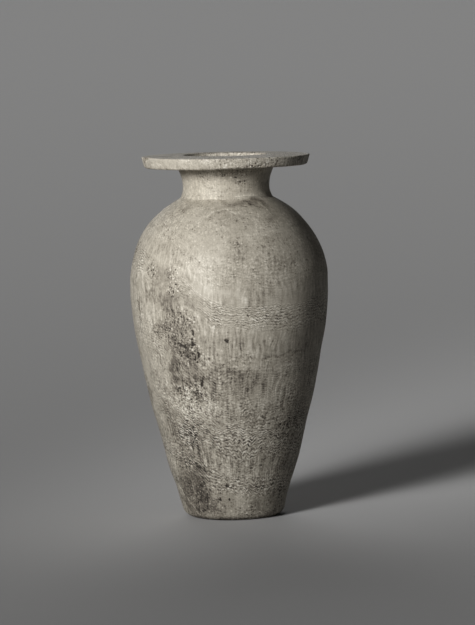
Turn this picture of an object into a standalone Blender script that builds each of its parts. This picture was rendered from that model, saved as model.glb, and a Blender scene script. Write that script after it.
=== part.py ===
"""A shouldered jar carved from one block of banded calcite, hollow, with a broad disc rim.

Metres, +Z up. The origin is the middle of the flat underside, and the front of the jar looks along -Y.
The jar is a turned shape, so it is drawn as one closed outline of radius against height, and spun.
"""

import math

import bmesh
import bpy
from mathutils import Matrix, Vector

# Outside of the body
BELLY_RADIUS = 0.0820
BELLY_HEIGHT = 0.1960  # floor to the widest place
SHOULDER_RISE = 0.0774  # widest place to where the shoulder's ellipse would close
BELLY_SOFTNESS = 0.0250  # how gradually the belly turns into the straight taper below it
FOOT_RADIUS = 0.0402  # where the line of the taper would meet the floor
FOOT_ROUNDING = 0.0091

# Neck, a waisted collar on the shoulder
NECK_RADIUS = 0.0358  # at its waist
NECK_FOOT_FLARE = 0.0021  # how far its foot stands out from the waist
NECK_TOP_FLARE = 0.0050  # how far its top stands out from the waist
NECK_LENGTH = 0.0263  # from the shoulder to the underside of the rim
NECK_WAIST_RISE = 0.0090  # from the shoulder to the waist
NECK_FOOT_ROUNDING = 0.0012
NECK_TOP_ROUNDING = 0.0020
NECK_OFFSET = 0.0009  # the neck and rim stand this far to the left of the body's axis

# Rim, a disc whose edge slopes in a little on its way down
RIM_RADIUS = 0.0697
RIM_THICKNESS = 0.0083
RIM_UNDERCUT = 0.0026  # how much smaller the disc is at its underside
RIM_EDGE_ROUNDING = 0.0006
RIM_UNDER_ROUNDING = 0.0016
LIP_RISE = 0.0008  # the mouth stands this much above the rim's outer edge
LIP_WIDTH = 0.0105  # flat ring round the mouth
LIP_ROUNDING = 0.0012

# Walls and hollow
BELLY_WALL = 0.0090
SHOULDER_WALL = 0.0100
NECK_WALL = 0.0060
FLOOR_THICKNESS = 0.0220
BOWL_DEPTH = 0.0350  # height of the rounded bottom of the hollow
MOUTH_FLARE = 0.0047  # how far the mouth opens out from the bore

# Flake lost from the rim's upper edge, at the left as the front is seen
CHIP_START = math.radians(12)  # steep end, turned from -X towards the front
CHIP_END = math.radians(26)  # shallow end
CHIP_DROP = 0.0029  # at the steep end
CHIP_REACH = 0.0050  # how far it runs in from the edge

# Fineness of the mesh
SIDES = 56
TAPER_STEPS = 9
SHOULDER_STEPS = 8
NECK_STEPS = 6
ROUND_STEPS = 2
FOOT_STEPS = 4
FLARE_STEPS = 4
INNER_SHOULDER_STEPS = 6
INNER_TAPER_STEPS = 6
BOWL_STEPS = 5

# Calcite, a warm light grey, polished but worn
STONE_COLOUR = (0.60, 0.55, 0.46, 1.0)
STONE_ROUGHNESS = 0.45

# Worked out from the sizes above
NECK_FOOT_RADIUS = NECK_RADIUS + NECK_FOOT_FLARE
NECK_TOP_RADIUS = NECK_RADIUS + NECK_TOP_FLARE
BORE_RADIUS = NECK_RADIUS - NECK_WALL
MOUTH_RADIUS = BORE_RADIUS + MOUTH_FLARE
SHOULDER_END = math.acos(NECK_FOOT_RADIUS / BELLY_RADIUS)  # angle along the shoulder's ellipse
NECK_FOOT_HEIGHT = BELLY_HEIGHT + SHOULDER_RISE * math.sin(SHOULDER_END)
WAIST_HEIGHT = NECK_FOOT_HEIGHT + NECK_WAIST_RISE
RIM_UNDER_HEIGHT = NECK_FOOT_HEIGHT + NECK_LENGTH
RIM_TOP_HEIGHT = RIM_UNDER_HEIGHT + RIM_THICKNESS
HEIGHT = RIM_TOP_HEIGHT + LIP_RISE


def between(start, end, steps):
    """Evenly spaced values after start, up to and including end."""
    return [start + (end - start) * i / steps for i in range(1, steps + 1)]


def rounded(before, corner, after, radius, steps=ROUND_STEPS):
    """The arc that rounds a corner of the outline, which runs from before, past corner, to after."""
    back = (before - corner).normalized()
    on = (after - corner).normalized()
    half_angle = back.angle(on) / 2
    centre = corner + (back + on).normalized() * (radius / math.sin(half_angle))
    reach = radius / math.tan(half_angle)
    start = corner + back * reach - centre
    end = corner + on * reach - centre
    return [centre + start.lerp(end, i / steps).normalized() * radius for i in range(steps + 1)]


def taper_radius(height):
    """Outside radius below the belly: a hyperbola, round at the belly and nearly straight at the foot."""
    drop = BELLY_RADIUS - FOOT_RADIUS
    share = (BELLY_HEIGHT - height) / BELLY_HEIGHT
    slope = math.sqrt((drop + BELLY_SOFTNESS) ** 2 - BELLY_SOFTNESS**2)
    return BELLY_RADIUS + BELLY_SOFTNESS - math.hypot(BELLY_SOFTNESS, slope * share)


def shoulder_point(angle, wall_out, wall_up):
    """A point on the shoulder's quarter ellipse, or on the hollow's where walls are taken off."""
    return Vector((
        (BELLY_RADIUS - wall_out) * math.cos(angle),
        BELLY_HEIGHT + (SHOULDER_RISE - wall_up) * math.sin(angle),
    ))


def neck_radius(height):
    """Outside radius of the neck, a parabola on each side of its waist."""
    if height < WAIST_HEIGHT:
        return NECK_RADIUS + NECK_FOOT_FLARE * ((WAIST_HEIGHT - height) / NECK_WAIST_RISE) ** 2
    rise = RIM_UNDER_HEIGHT - WAIST_HEIGHT
    return NECK_RADIUS + NECK_TOP_FLARE * ((height - WAIST_HEIGHT) / rise) ** 2


def mouth_radius(height):
    """Inside radius above the waist, which opens out to the mouth."""
    return BORE_RADIUS + MOUTH_FLARE * ((height - WAIST_HEIGHT) / (HEIGHT - WAIST_HEIGHT)) ** 2


def hollow_radius(height):
    """Inside radius below the belly, with the rounded bottom drawn in."""
    radius = taper_radius(height) - BELLY_WALL
    below = max(0.0, FLOOR_THICKNESS + BOWL_DEPTH - height) / BOWL_DEPTH
    return radius * math.sqrt(max(0.0, 1 - below * below))


def body_outline():
    """Underside, foot, taper and shoulder, up to the foot of the neck."""
    foot_corner = Vector((FOOT_RADIUS, 0))
    up_the_wall = Vector((taper_radius(FOOT_ROUNDING), FOOT_ROUNDING))
    foot = rounded(Vector((0, 0)), foot_corner, up_the_wall, FOOT_ROUNDING, FOOT_STEPS)
    taper = [Vector((taper_radius(h), h)) for h in between(foot[-1].y, BELLY_HEIGHT, TAPER_STEPS)]
    shoulder = [shoulder_point(a, 0, 0) for a in between(0, SHOULDER_END, SHOULDER_STEPS)]
    next_height = NECK_FOOT_HEIGHT + NECK_FOOT_ROUNDING
    up_the_neck = Vector((neck_radius(next_height), next_height))
    neck_foot = rounded(shoulder[-2], shoulder[-1], up_the_neck, NECK_FOOT_ROUNDING)
    return [Vector((0, 0))] + foot + taper + shoulder[:-1] + neck_foot


def neck_outline():
    """The neck's side and the corner under the rim."""
    heights = between(NECK_FOOT_HEIGHT, RIM_UNDER_HEIGHT, NECK_STEPS)
    side = [Vector((neck_radius(h), h)) for h in heights]
    under_rim = Vector((RIM_RADIUS, RIM_UNDER_HEIGHT))
    return side[:-1] + rounded(side[-2], side[-1], under_rim, NECK_TOP_ROUNDING)


def rim_outline():
    """The rim's underside corner, edge, top and flat lip."""
    under = Vector((RIM_RADIUS - RIM_UNDERCUT, RIM_UNDER_HEIGHT))
    edge = Vector((RIM_RADIUS, RIM_TOP_HEIGHT))
    lip_outer = Vector((MOUTH_RADIUS + LIP_WIDTH, HEIGHT))
    mouth = Vector((MOUTH_RADIUS, HEIGHT))
    down_the_mouth = Vector((mouth_radius(RIM_TOP_HEIGHT), RIM_TOP_HEIGHT))
    return (
        rounded(Vector((NECK_TOP_RADIUS, RIM_UNDER_HEIGHT)), under, edge, RIM_UNDER_ROUNDING)
        + rounded(under, edge, lip_outer, RIM_EDGE_ROUNDING)
        + [lip_outer]
        + rounded(lip_outer, mouth, down_the_mouth, LIP_ROUNDING)
    )


def hollow_outline():
    """The inside, from under the lip down to the middle of the hollow's floor."""
    flare = [Vector((mouth_radius(h), h)) for h in between(HEIGHT - LIP_ROUNDING, WAIST_HEIGHT, FLARE_STEPS)]
    bore_end = math.acos(BORE_RADIUS / (BELLY_RADIUS - BELLY_WALL))
    first = shoulder_point(bore_end, BELLY_WALL, SHOULDER_WALL)
    shoulder = [
        shoulder_point(a, BELLY_WALL, SHOULDER_WALL) for a in between(bore_end, 0, INNER_SHOULDER_STEPS)
    ]
    bowl_top = FLOOR_THICKNESS + BOWL_DEPTH
    taper = [Vector((hollow_radius(h), h)) for h in between(BELLY_HEIGHT, bowl_top, INNER_TAPER_STEPS)]
    turns = between(0, math.pi / 2, BOWL_STEPS)
    bowl_heights = [bowl_top - BOWL_DEPTH * math.sin(turn) for turn in turns]
    bowl = [Vector((hollow_radius(h), h)) for h in bowl_heights[:-1]]
    return flare + [first] + shoulder + taper + bowl + [Vector((0, FLOOR_THICKNESS))]


def turned(name, outline):
    """An object made by spinning an outline of (radius, height) points round the Z axis."""
    shape = bmesh.new()
    points = [shape.verts.new((p.x, 0, p.y)) for p in outline]
    lines = [shape.edges.new(pair) for pair in zip(points, points[1:])]
    bmesh.ops.spin(
        shape,
        geom=points + lines,
        cent=(0, 0, 0),
        axis=(0, 0, 1),
        angle=math.tau,
        steps=SIDES,
        use_merge=True,
    )
    bmesh.ops.remove_doubles(shape, verts=shape.verts, dist=1e-6)
    bmesh.ops.recalc_face_normals(shape, faces=shape.faces)
    for vert in shape.verts:
        risen = (vert.co.z - BELLY_HEIGHT) / (NECK_FOOT_HEIGHT - BELLY_HEIGHT)
        vert.co.x -= NECK_OFFSET * min(max(risen, 0), 1)
    return object_from(name, shape)


def object_from(name, shape):
    """A scene object that holds a bmesh."""
    mesh = bpy.data.meshes.new(name)
    shape.to_mesh(mesh)
    shape.free()
    made = bpy.data.objects.new(name, mesh)
    bpy.context.collection.objects.link(made)
    return made


def chip_cutter():
    """A box that lies on the flake's floor, with one long side as the flake's steep end."""
    steep = Vector((-math.cos(CHIP_START), -math.sin(CHIP_START), 0))
    shallow = Vector((-math.cos(CHIP_END), -math.sin(CHIP_END), 0))
    top = Vector((-NECK_OFFSET, 0, RIM_TOP_HEIGHT))
    deepest = top + steep * RIM_RADIUS - Vector((0, 0, CHIP_DROP))
    inner = top + steep * (RIM_RADIUS - CHIP_REACH)
    far = top + shallow * RIM_RADIUS
    inward = (inner - deepest).normalized()
    upward = (far - deepest).cross(inward).normalized()
    along = inward.cross(upward)
    size = Vector(((far - deepest).length + CHIP_REACH, 4 * CHIP_REACH, 2 * CHIP_REACH))
    middle = deepest + along * (size.x / 2) + upward * (size.z / 2)
    turn = Matrix((along, inward, upward)).transposed().to_4x4()
    shape = bmesh.new()
    place = Matrix.Translation(middle) @ turn @ Matrix.Diagonal(size).to_4x4()
    bmesh.ops.create_cube(shape, size=1, matrix=place)
    cutter = object_from("rim_chip_cutter", shape)
    cutter.hide_render = True
    cutter.display_type = "WIRE"
    return cutter


def stone_material():
    """Plain calcite."""
    material = bpy.data.materials.new("calcite")
    material.use_nodes = True
    surface = material.node_tree.nodes["Principled BSDF"]
    surface.inputs["Base Color"].default_value = STONE_COLOUR
    surface.inputs["Roughness"].default_value = STONE_ROUGHNESS
    surface.inputs["Metallic"].default_value = 0.0
    return material


def build():
    """Clears the scene and makes the jar."""
    for old in list(bpy.data.objects):
        bpy.data.objects.remove(old)
    jar = turned("jar", body_outline() + neck_outline() + rim_outline() + hollow_outline())
    jar.data.materials.append(stone_material())
    jar.data.shade_smooth()
    jar.data.set_sharp_from_angle(angle=math.radians(30))
    chip = jar.modifiers.new("rim_chip", "BOOLEAN")
    chip.operation = "DIFFERENCE"
    chip.solver = "EXACT"
    chip.object = chip_cutter()


build()
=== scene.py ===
"""The looks of a shouldered jar of banded calcite: its worn surface in mesh, its stone as a solid pattern.

Metres, +Z up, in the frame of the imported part. The side that the photograph shows faces -Y.
"""

import math
import random
from collections import namedtuple

import bmesh
import bpy
import numpy as np
from mathutils import Matrix, Vector, noise
from mathutils.kdtree import KDTree


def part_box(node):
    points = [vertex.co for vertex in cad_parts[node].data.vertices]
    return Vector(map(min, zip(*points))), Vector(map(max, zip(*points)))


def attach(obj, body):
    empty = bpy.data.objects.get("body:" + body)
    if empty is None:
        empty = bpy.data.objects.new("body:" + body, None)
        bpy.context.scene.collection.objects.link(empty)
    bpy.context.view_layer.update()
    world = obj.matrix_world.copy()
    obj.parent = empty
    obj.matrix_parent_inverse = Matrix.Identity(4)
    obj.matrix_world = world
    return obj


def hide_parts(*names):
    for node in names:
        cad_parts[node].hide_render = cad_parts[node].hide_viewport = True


# The photograph and the camera that took it
PHOTO_WIDTH = 475
PHOTO_HEIGHT = 625
FOCAL_PIXELS = 3279.0
SENSOR_SIZE = 36.0
CAMERA_DISTANCE = 2.72
CAMERA_ELEVATION = math.radians(5.22)
CAMERA_ROLL = math.radians(1.157)  # the jar leans to the left in the picture
AIM_HEIGHT = 0.1687  # height on the jar's axis at the middle row
AXIS_COLUMN = 229.6  # column of the jar's axis at the middle row

# Outside of the body, as in the part
BELLY_HEIGHT = 0.1960
SHOULDER_RISE = 0.0774
BELLY_SOFTNESS = 0.0250
FOOT_RADIUS = 0.0402
FOOT_ROUNDING = 0.0091

# Neck
NECK_RADIUS = 0.0358
NECK_FOOT_FLARE = 0.0021
NECK_TOP_FLARE = 0.0050
NECK_LENGTH = 0.0263
NECK_WAIST_RISE = 0.0090
NECK_FOOT_ROUNDING = 0.0035
NECK_TOP_ROUNDING = 0.0020
NECK_OFFSET = 0.0009

# Rim
RIM_RADIUS = 0.0697
RIM_THICKNESS = 0.0083
RIM_UNDERCUT = 0.0026
RIM_EDGE_ROUNDING = 0.0008
RIM_UNDER_ROUNDING = 0.0016
LIP_RISE = 0.0008
LIP_WIDTH = 0.0105
LIP_ROUNDING = 0.0012

# Walls and hollow
BELLY_WALL = 0.0090
SHOULDER_WALL = 0.0100
NECK_WALL = 0.0060
FLOOR_THICKNESS = 0.0220
BOWL_DEPTH = 0.0350
MOUTH_FLARE = 0.0047

# Fineness of the mesh
COLUMNS = 224
FINE_SPACING = 0.0005
NECK_SPACING = 0.0011
MOUTH_SPACING = 0.0014
BODY_SPACING = 0.0020
RIM_SPACING = 0.0022
HOLLOW_SPACING = 0.0032
COARSE_SPACING = 0.0040
FOOT_STEPS = 9
NECK_FOOT_STEPS = 8
BOWL_STEP = math.pi / 24
FIRST_RING = 0.0015  # radius of the ring next to the middle of the underside
FINE_SHOULDER = 0.0040  # the rings are fine over this length of the shoulder, next to the neck
FINE_RIM_TOP = 0.32  # and over this share of the slope from the rim's edge to the flat lip

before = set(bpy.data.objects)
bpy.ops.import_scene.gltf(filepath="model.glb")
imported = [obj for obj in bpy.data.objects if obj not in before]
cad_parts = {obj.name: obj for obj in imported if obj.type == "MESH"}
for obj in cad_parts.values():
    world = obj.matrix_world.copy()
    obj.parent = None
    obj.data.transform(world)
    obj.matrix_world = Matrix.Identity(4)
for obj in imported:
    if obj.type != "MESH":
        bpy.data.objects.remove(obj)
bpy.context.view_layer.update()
cad_low, cad_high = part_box("jar")
HEIGHT = cad_high.z
BELLY_RADIUS = (cad_high.x - cad_low.x) / 2

# Worked out from the sizes above
NECK_FOOT_RADIUS = NECK_RADIUS + NECK_FOOT_FLARE
NECK_TOP_RADIUS = NECK_RADIUS + NECK_TOP_FLARE
BORE_RADIUS = NECK_RADIUS - NECK_WALL
MOUTH_RADIUS = BORE_RADIUS + MOUTH_FLARE
SHOULDER_END = math.acos(NECK_FOOT_RADIUS / BELLY_RADIUS)
NECK_FOOT_HEIGHT = BELLY_HEIGHT + SHOULDER_RISE * math.sin(SHOULDER_END)
WAIST_HEIGHT = NECK_FOOT_HEIGHT + NECK_WAIST_RISE
RIM_UNDER_HEIGHT = NECK_FOOT_HEIGHT + NECK_LENGTH
RIM_TOP_HEIGHT = HEIGHT - LIP_RISE


def make_camera():
    """The photograph's camera. Its roll gives the lean that the jar has in the picture."""
    data = bpy.data.cameras.new("camera")
    data.sensor_width = SENSOR_SIZE
    data.lens = SENSOR_SIZE * FOCAL_PIXELS / PHOTO_HEIGHT
    data.shift_x = (PHOTO_WIDTH / 2 - AXIS_COLUMN) / PHOTO_HEIGHT
    data.clip_end = 200
    camera = bpy.data.objects.new("camera", data)
    bpy.context.scene.collection.objects.link(camera)
    back = Vector((0, -math.cos(CAMERA_ELEVATION), math.sin(CAMERA_ELEVATION)))
    place = Matrix.Translation(Vector((0, 0, AIM_HEIGHT)) + back * CAMERA_DISTANCE)
    tilt = Matrix.Rotation(math.pi / 2 - CAMERA_ELEVATION, 4, "X")
    camera.matrix_world = place @ tilt @ Matrix.Rotation(-CAMERA_ROLL, 4, "Z")
    bpy.context.scene.camera = camera
    return camera


def first_hit(start, direction):
    """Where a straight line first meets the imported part."""
    hit, place, _normal, _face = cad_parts["jar"].ray_cast(start, direction)
    if not hit:
        raise ValueError(f"the line from {start[:]} misses the jar")
    return place


def on_photo(camera, column, row):
    """The point of the jar that the photograph shows at a pixel."""
    sight = Vector((column - AXIS_COLUMN, PHOTO_HEIGHT / 2 - row, -FOCAL_PIXELS))
    direction = (camera.matrix_world.to_3x3() @ sight).normalized()
    return first_hit(camera.matrix_world.translation, direction)


def on_side(angle, height):
    """The point of the jar's outside at an angle from +X, anticlockwise from above, and at a height."""
    outward = Vector((math.cos(angle), math.sin(angle), 0))
    return first_hit(outward + Vector((0, 0, height)), -outward)


# The outline: radius against height, from the middle of the underside round to the middle of the hollow


def between(start, end, spacing):
    """Heights or radii after start, up to and including end, at most spacing apart."""
    steps = max(1, round(abs(end - start) / spacing))
    return [start + (end - start) * i / steps for i in range(1, steps + 1)]


def straight(start, end, spacing):
    """Points after start, up to and including end."""
    steps = max(1, round((end - start).length / spacing))
    return [start.lerp(end, i / steps) for i in range(1, steps + 1)]


def rounded(before, corner, after, radius, steps=5):
    """The arc that rounds a corner of the outline."""
    back = (before - corner).normalized()
    on = (after - corner).normalized()
    half_angle = back.angle(on) / 2
    centre = corner + (back + on).normalized() * (radius / math.sin(half_angle))
    reach = radius / math.tan(half_angle)
    start = corner + back * reach - centre
    end = corner + on * reach - centre
    return [centre + start.lerp(end, i / steps).normalized() * radius for i in range(steps + 1)]


def taper_radius(height):
    """Outside radius below the belly."""
    drop = BELLY_RADIUS - FOOT_RADIUS
    share = (BELLY_HEIGHT - height) / BELLY_HEIGHT
    slope = math.sqrt((drop + BELLY_SOFTNESS) ** 2 - BELLY_SOFTNESS**2)
    return BELLY_RADIUS + BELLY_SOFTNESS - math.hypot(BELLY_SOFTNESS, slope * share)


def shoulder_point(angle, wall_out, wall_up):
    """A point on the shoulder's ellipse, or on the hollow's."""
    return Vector((
        (BELLY_RADIUS - wall_out) * math.cos(angle),
        BELLY_HEIGHT + (SHOULDER_RISE - wall_up) * math.sin(angle),
    ))


def neck_radius(height):
    """Outside radius of the neck."""
    if height < WAIST_HEIGHT:
        return NECK_RADIUS + NECK_FOOT_FLARE * ((WAIST_HEIGHT - height) / NECK_WAIST_RISE) ** 2
    length = RIM_UNDER_HEIGHT - WAIST_HEIGHT
    return NECK_RADIUS + NECK_TOP_FLARE * ((height - WAIST_HEIGHT) / length) ** 2


def mouth_radius(height):
    """Inside radius above the waist."""
    return BORE_RADIUS + MOUTH_FLARE * ((height - WAIST_HEIGHT) / (HEIGHT - WAIST_HEIGHT)) ** 2


def hollow_radius(height):
    """Inside radius below the belly, with the rounded bottom drawn in."""
    radius = taper_radius(height) - BELLY_WALL
    below = max(0.0, FLOOR_THICKNESS + BOWL_DEPTH - height) / BOWL_DEPTH
    return radius * math.sqrt(max(0.0, 1 - below * below))


def body_outline():
    """Underside, foot, taper and shoulder, up to the foot of the neck."""
    corner = Vector((FOOT_RADIUS, 0))
    up_the_side = Vector((taper_radius(FOOT_ROUNDING), FOOT_ROUNDING))
    foot = rounded(Vector((0, 0)), corner, up_the_side, FOOT_ROUNDING, FOOT_STEPS)
    first = Vector((FIRST_RING, 0))
    underside = straight(first, foot[0], COARSE_SPACING)
    taper = [Vector((taper_radius(h), h)) for h in between(foot[-1].y, BELLY_HEIGHT, BODY_SPACING)]
    last_turn = SHOULDER_END - FINE_SHOULDER / BELLY_RADIUS
    turns = between(0, last_turn, BODY_SPACING / BELLY_RADIUS)
    turns += between(last_turn, SHOULDER_END, FINE_SPACING / BELLY_RADIUS)
    shoulder = [shoulder_point(turn, 0, 0) for turn in turns]
    next_height = NECK_FOOT_HEIGHT + NECK_FOOT_ROUNDING
    up_the_neck = Vector((neck_radius(next_height), next_height))
    neck_foot = rounded(shoulder[-2], shoulder[-1], up_the_neck, NECK_FOOT_ROUNDING, NECK_FOOT_STEPS)
    reach = (neck_foot[0] - shoulder[-1]).length + FINE_SPACING / 2
    shoulder = [point for point in shoulder if (point - shoulder[-1]).length > reach]
    return [first] + underside[:-1] + foot + taper + shoulder + neck_foot


def neck_outline():
    """The neck's side and the corner under the rim."""
    heights = between(NECK_FOOT_HEIGHT + NECK_FOOT_ROUNDING, RIM_UNDER_HEIGHT, NECK_SPACING)
    side = [Vector((neck_radius(h), h)) for h in heights]
    corner = rounded(side[-2], side[-1], Vector((RIM_RADIUS, RIM_UNDER_HEIGHT)), NECK_TOP_ROUNDING)
    return [p for p in side if p.y < corner[0].y - FINE_SPACING] + corner


def rim_outline():
    """The rim's underside, its corners and edge, the top and the flat lip."""
    under = Vector((RIM_RADIUS - RIM_UNDERCUT, RIM_UNDER_HEIGHT))
    edge = Vector((RIM_RADIUS, RIM_TOP_HEIGHT))
    lip_outer = Vector((MOUTH_RADIUS + LIP_WIDTH, HEIGHT))
    mouth = Vector((MOUTH_RADIUS, HEIGHT))
    down_the_mouth = Vector((mouth_radius(RIM_TOP_HEIGHT), RIM_TOP_HEIGHT))
    under_corner = rounded(Vector((NECK_TOP_RADIUS, RIM_UNDER_HEIGHT)), under, edge, RIM_UNDER_ROUNDING)
    edge_corner = rounded(under, edge, lip_outer, RIM_EDGE_ROUNDING)
    lip = rounded(lip_outer, mouth, down_the_mouth, LIP_ROUNDING)
    worn_zone = edge.lerp(lip_outer, FINE_RIM_TOP)
    start = Vector((NECK_TOP_RADIUS + NECK_TOP_ROUNDING, RIM_UNDER_HEIGHT))
    return (
        straight(start, under_corner[0], RIM_SPACING)[:-1]
        + under_corner
        + straight(under_corner[-1], edge_corner[0], FINE_SPACING)[:-1]
        + edge_corner
        + straight(edge_corner[-1], worn_zone, FINE_SPACING)
        + straight(worn_zone, lip_outer, RIM_SPACING)
        + straight(lip_outer, lip[0], RIM_SPACING)[:-1]
        + lip
    )


def hollow_outline():
    """The inside, from under the lip down to the middle of the hollow's floor."""
    heights = between(HEIGHT - LIP_ROUNDING, WAIST_HEIGHT, MOUTH_SPACING)
    flare = [Vector((mouth_radius(h), h)) for h in heights]
    bore_end = math.acos(BORE_RADIUS / (BELLY_RADIUS - BELLY_WALL))
    turns = between(bore_end, 0, HOLLOW_SPACING / BELLY_RADIUS)
    first = shoulder_point(bore_end, BELLY_WALL, SHOULDER_WALL)
    shoulder = [shoulder_point(turn, BELLY_WALL, SHOULDER_WALL) for turn in turns]
    bowl_top = FLOOR_THICKNESS + BOWL_DEPTH
    taper = [Vector((hollow_radius(h), h)) for h in between(BELLY_HEIGHT, bowl_top, HOLLOW_SPACING)]
    turns = between(0, math.pi / 2, BOWL_STEP)
    bowl_heights = [bowl_top - BOWL_DEPTH * math.sin(turn) for turn in turns]
    bowl = [Vector((hollow_radius(h), h)) for h in bowl_heights[:-1]]
    return flare + straight(flare[-1], first, COARSE_SPACING) + shoulder + taper + bowl


def ring_places(outline, columns):
    """The points of the rings that an outline turns through: rings, columns, and x, y and z."""
    points = np.array(outline)
    angles = np.arange(columns) * math.tau / columns
    risen = np.clip((points[:, 1:] - BELLY_HEIGHT) / (NECK_FOOT_HEIGHT - BELLY_HEIGHT), 0, 1)
    x = points[:, :1] * np.cos(angles) - NECK_OFFSET * risen
    y = points[:, :1] * np.sin(angles)
    z = np.repeat(points[:, 1:], columns, axis=1)
    return np.stack([x, y, z], -1)


def ring_faces(first, second):
    """The faces between neighbouring rings. The second may have half as many points as the first."""
    after = np.roll(second, -1)
    if len(first) == len(second):
        return np.stack([first, np.roll(first, -1), after, second], -1).tolist()
    ends = np.roll(first, -2)[::2]
    return np.stack([first[::2], first[1::2], ends, after, second], -1).tolist()


def make_shape():
    """The jar as a mesh and a bmesh: rings of the outline, coarser in the hollow, and a fan at each end."""
    outside = ring_places(body_outline() + neck_outline() + rim_outline(), COLUMNS)
    inside = ring_places(hollow_outline(), COLUMNS // 2)
    numbers = np.arange(outside[..., 0].size + inside[..., 0].size)
    rings = list(numbers[: outside[..., 0].size].reshape(-1, COLUMNS))
    rings += list(numbers[outside[..., 0].size :].reshape(-1, COLUMNS // 2))
    places = np.vstack([outside.reshape(-1, 3), inside.reshape(-1, 3), [0, 0, 0], [0, 0, FLOOR_THICKNESS]])
    faces = [face for first, second in zip(rings, rings[1:]) for face in ring_faces(first, second)]
    faces += [[len(numbers), int(b), int(a)] for a, b in zip(rings[0], np.roll(rings[0], -1))]
    faces += [[len(numbers) + 1, int(a), int(b)] for a, b in zip(rings[-1], np.roll(rings[-1], -1))]
    mesh = bpy.data.meshes.new("jar_stone")
    mesh.from_pydata(places.tolist(), [], faces)
    shape = bmesh.new()
    shape.from_mesh(mesh)
    bmesh.ops.recalc_face_normals(shape, faces=shape.faces)
    return mesh, shape


# What time and use have left on the stone, and some painted shade and painted light, each at its place in the
# photograph

# Lengths in metres. A tone above 0 is dark. A chip's angles run round the rim from -X towards the front
Patch = namedtuple("Patch", "look wide tall lean amount")
Mark = namedtuple("Mark", "route width depth tone")
Chip = namedtuple("Chip", "start end drop reach")

# Column and row in the photograph, half the width and height in millimetres, lean in degrees, amount
PATCHES = {}
# Darker stone, and in the places marked below, painted shade
PATCHES["shade"] = [  # darker stone
    (162, 287, 19, 17, 0, 0.6),
    (180, 304, 19, 11, 0, 0.5),
    (177, 325, 24, 13, -12, 0.6),
    (168, 338, 13, 13, 0, 0.55),
    (184, 366, 17, 22, 12, 0.74),
    (183, 346, 10, 8, 0, 0.25),
    (222, 344, 22, 10, 0, 0.3),
    (224, 376, 15, 12, 0, 0.55),
    (246, 384, 11, 15, 0, 0.5),
    (216, 397, 20, 6, 0, 0.3),
    (226, 410, 8, 5, 20, 0.4),
    (164, 327, 6, 8, -20, 0.25),
    (254, 383, 7, 12, 0, 0.2),
    (170, 416, 9, 14, 14, 0.75),
    (184, 440, 16, 12, 10, 0.4),
    (193, 437, 8, 9, 10, 0.4),
    (201, 445, 8, 10, 15, 0.6),
    (190, 467, 15, 15, 14, 0.6),
    (193, 496, 15.5, 19, 10, 0.95),
    # painted shade down the shadowed right side of the lower body
    (286, 440, 10, 30, -10, 0.4),
    (217, 508, 6, 7, 0, 0.45),
    (254, 505, 3.5, 7, 0, 0.45),
    (225, 216, 9.5, 6, 0, 0.3),
    (170, 244, 22, 7, 0, 0.22),
    (236, 252, 11, 11, 0, 0.3),
    (277, 250, 12, 16, 0, 0.2),
    (183, 211, 7, 3, 30, 0.35),
    (238, 201, 19, 2.4, 0, 0.4),
    # painted shadow of the rim on the right of the shoulder
    (257, 207, 13, 6, -20, 0.45),
    (240, 176, 9, 5, 0, 0.25),
]
# Ragged grey stains; the one marked below is painted shade
PATCHES["grey"] = [  # ragged grey stains
    (180, 328, 9, 13, -10, 0.4),
    (175, 368, 6.5, 16, 12, 0.6),
    (189, 352, 7.5, 11, 0, 0.55),
    (199, 376, 6, 9, 10, 0.65),
    (178, 388, 8, 3, -35, 0.6),
    (240, 374, 7, 5, 20, 0.4),
    (213, 377, 7, 16, 10, 0.5),
    (198, 398, 15, 3, -32, 0.6),
    (196, 420, 9, 2.4, -25, 0.5),
    (196, 446, 6.5, 11, 16, 0.7),
    (202, 470, 6, 11, 16, 0.55),
    (204, 495, 8, 15, 8, 0.6),
    (251, 203, 11, 4.5, 0, 0.5),
    # painted shade on the flake's facet at the rim's left end
    (145, 160, 6, 5, 0, 1.2),
]
# Paler stone; the first patch is partly a painted highlight
PATCHES["pale"] = [  # paler stone
    # partly paler stone, partly a painted highlight on the upper left of the belly
    (204, 272, 15, 22, 0, 0.5),
    (222, 294, 26, 5.5, 0, 0.3),
    (151, 386, 7, 32, 12, 0.6),
    (149, 318, 3.2, 15, 0, 0.45),
    (186, 406, 13, 9, -10, 0.6),
    (212, 408, 6, 10, 0, 0.35),
    (238, 473, 16, 10, 0, 0.6),
    (247, 493, 15, 10, 0, 0.6),
    (226, 495, 4.5, 5, 0, 0.55),
    (243, 505, 6, 9, 0, 0.45),
    (193, 203, 10, 3.5, 0, 0.5),
]
PATCHES["lines"] = [  # stronger or weaker layers
    (160, 280, 26, 26, -30, -1.2),
    (195, 308, 13, 15, 0, -0.8),
    (187, 352, 12, 12, 0, -0.5),
    (276, 317, 24, 9, 0, 0.45),
    (274, 274, 20, 17, 0, 0.4),
    (190, 438, 10, 11, 0, 1.6),
    (250, 440, 26, 11, 0, 0.4),
    (268, 482, 17, 5, 0, 0.5),
]
PATCHES["fibres"] = [  # stronger fibres
    (245, 294, 29, 6, 0, 0.2),
    (250, 343, 32, 7, 0, 0.25),
    (277, 272, 18, 22, 0, 0.3),
    (262, 386, 24, 20, 0, 0.4),
]
PATCHES["specks"] = [  # more or fewer specks
    (179, 324, 17, 17, 0, 0.8),
    (268, 386, 19, 20, 0, -0.4),
    (190, 402, 19, 18, 0, 1.05),
    (188, 352, 12, 11, 0, 0.8),
    (152, 273, 8, 7, 0, 0.8),
    (228, 381, 15, 15, 0, -0.3),
    (276, 270, 20, 16, 0, -0.4),
    (240, 177, 9, 6, 0, 0.7),
    (173, 278, 9, 12, 0, 0.9),
]
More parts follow.
